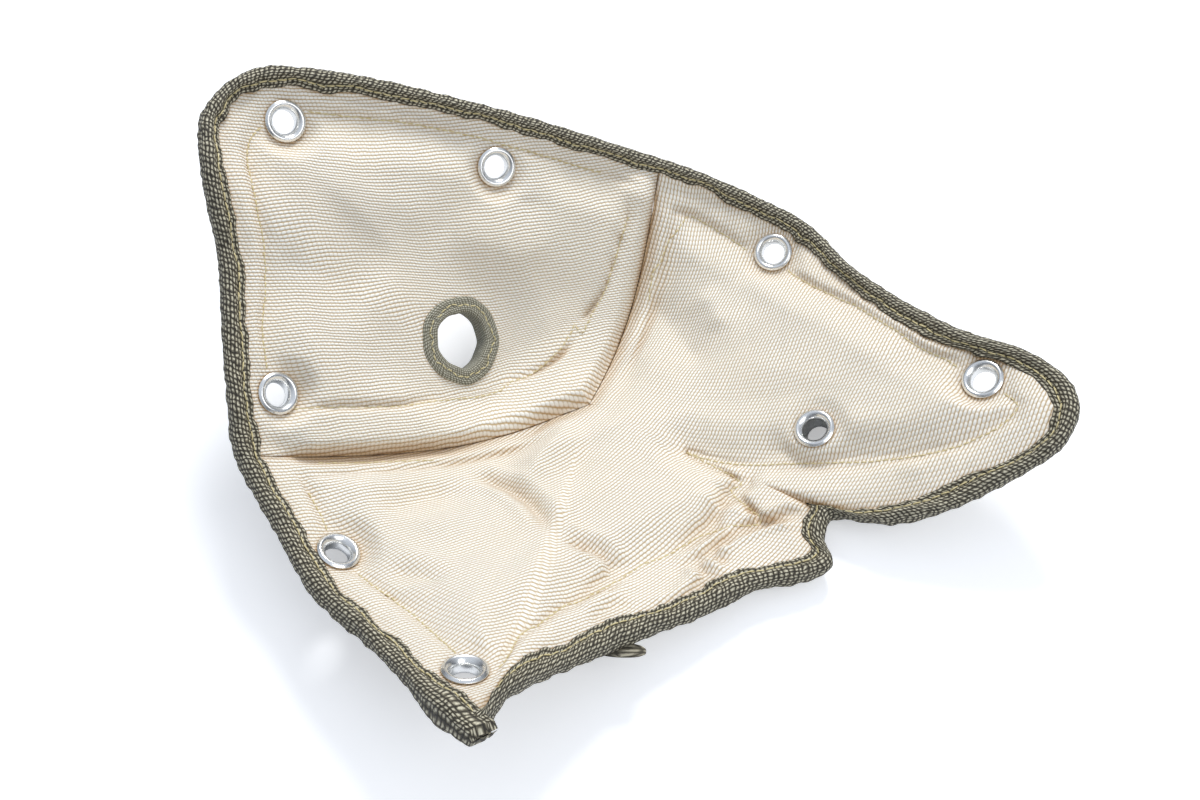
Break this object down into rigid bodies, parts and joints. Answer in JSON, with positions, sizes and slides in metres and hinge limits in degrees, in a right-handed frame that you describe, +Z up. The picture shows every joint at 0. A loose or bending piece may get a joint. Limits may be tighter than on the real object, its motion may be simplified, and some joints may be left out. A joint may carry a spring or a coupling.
{
  "type": "turbo heat blanket",
  "caption": "Quilted dish-shaped heat blanket for a turbine housing, with tape-bound edge, lacing eyelets and a bound sensor hole.",
  "frame": {"origin": "middle of the length and width, on the flat of the belly that it rests on", "axes": "+X along the length towards the narrow tip, +Y towards the long straight edge, +Z up, out of the dish"},
  "size_m": [0.2884, 0.2342, 0.1038],
  "materials": {
    "liner_cloth": "cream silica twill",
    "insulation": "needled white silica mat",
    "cover_cloth": "plain woven basalt cloth",
    "binding_tape": "coarse woven olive tape",
    "hole_tape": "fine woven grey olive tape",
    "eyelet_steel": "polished stainless steel"
  },
  "bodies": {
    "root": {"liner_panel_upper": "liner_cloth", "liner_panel_lower": "liner_cloth", "insulation_pad_upper": "insulation", "insulation_pad_lower": "insulation", "outer_cover_upper": "cover_cloth", "outer_cover_lower": "cover_cloth", "edge_binding": "binding_tape", "sensor_hole_binding": "hole_tape", "eyelet_1": "eyelet_steel", "eyelet_2": "eyelet_steel", "eyelet_3": "eyelet_steel", "eyelet_4": "eyelet_steel", "eyelet_5": "eyelet_steel", "eyelet_6": "eyelet_steel", "eyelet_7": "eyelet_steel", "eyelet_8": "eyelet_steel", "eyelet_washer_1": "eyelet_steel", "eyelet_washer_2": "eyelet_steel", "eyelet_washer_3": "eyelet_steel", "eyelet_washer_4": "eyelet_steel", "eyelet_washer_5": "eyelet_steel", "eyelet_washer_6": "eyelet_steel", "eyelet_washer_7": "eyelet_steel", "eyelet_washer_8": "eyelet_steel"}
  },
  "joints": []
}
